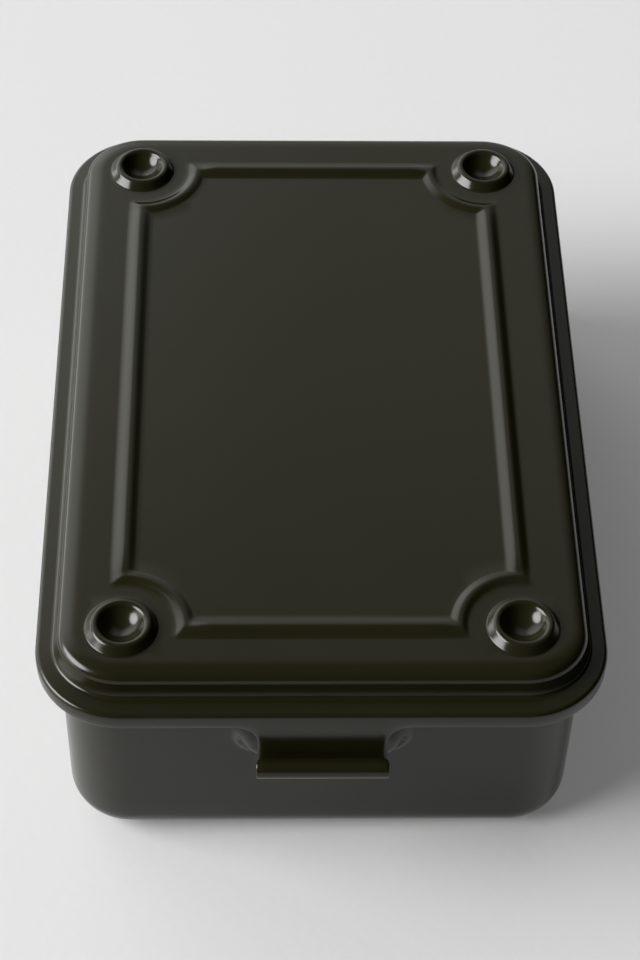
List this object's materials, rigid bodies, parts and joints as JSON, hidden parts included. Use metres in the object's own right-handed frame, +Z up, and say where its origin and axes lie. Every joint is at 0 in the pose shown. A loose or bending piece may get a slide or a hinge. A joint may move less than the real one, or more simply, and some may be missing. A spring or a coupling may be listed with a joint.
{
  "type": "steel storage box",
  "caption": "Small pressed-steel box with a deep round-cornered tray and a hinged lid that has a scalloped bead frame, dimpled corner studs and a sprung latch tongue.",
  "frame": {"origin": "centre of the flat base, in the plane that the box stands on", "axes": "+Z up, +Y from the latch end to the hinge end, +X to the right as seen from the latch end"},
  "size_m": [0.105, 0.1582, 0.053],
  "materials": {
    "olive_paint": "satin-gloss dark olive paint",
    "hinge_steel": "plain steel"
  },
  "bodies": {
    "tray_body": {"tray": "olive_paint", "left_hinge_plate": "olive_paint", "right_hinge_plate": "olive_paint", "left_hinge_pin": "hinge_steel", "right_hinge_pin": "hinge_steel", "left_plate_rivets": "hinge_steel", "right_plate_rivets": "hinge_steel"},
    "lid_body": {"lid": "olive_paint"},
    "latch_body": {"latch_tab": "olive_paint"}
  },
  "joints": [
    {"name": "lid_hinge", "type": "hinge", "parent": "tray_body", "child": "lid_body", "pos_m": [0, 0.07515, 0.0402], "axis": [-1, 0, 0], "range_deg": [0, 110]},
    {"name": "latch_flex", "type": "hinge", "parent": "lid_body", "child": "latch_body", "pos_m": [0, -0.077, 0.038], "axis": [-1, 0, 0], "range_deg": [0, 6], "stiffness_Nm_per_rad": 0.3}
  ]
}
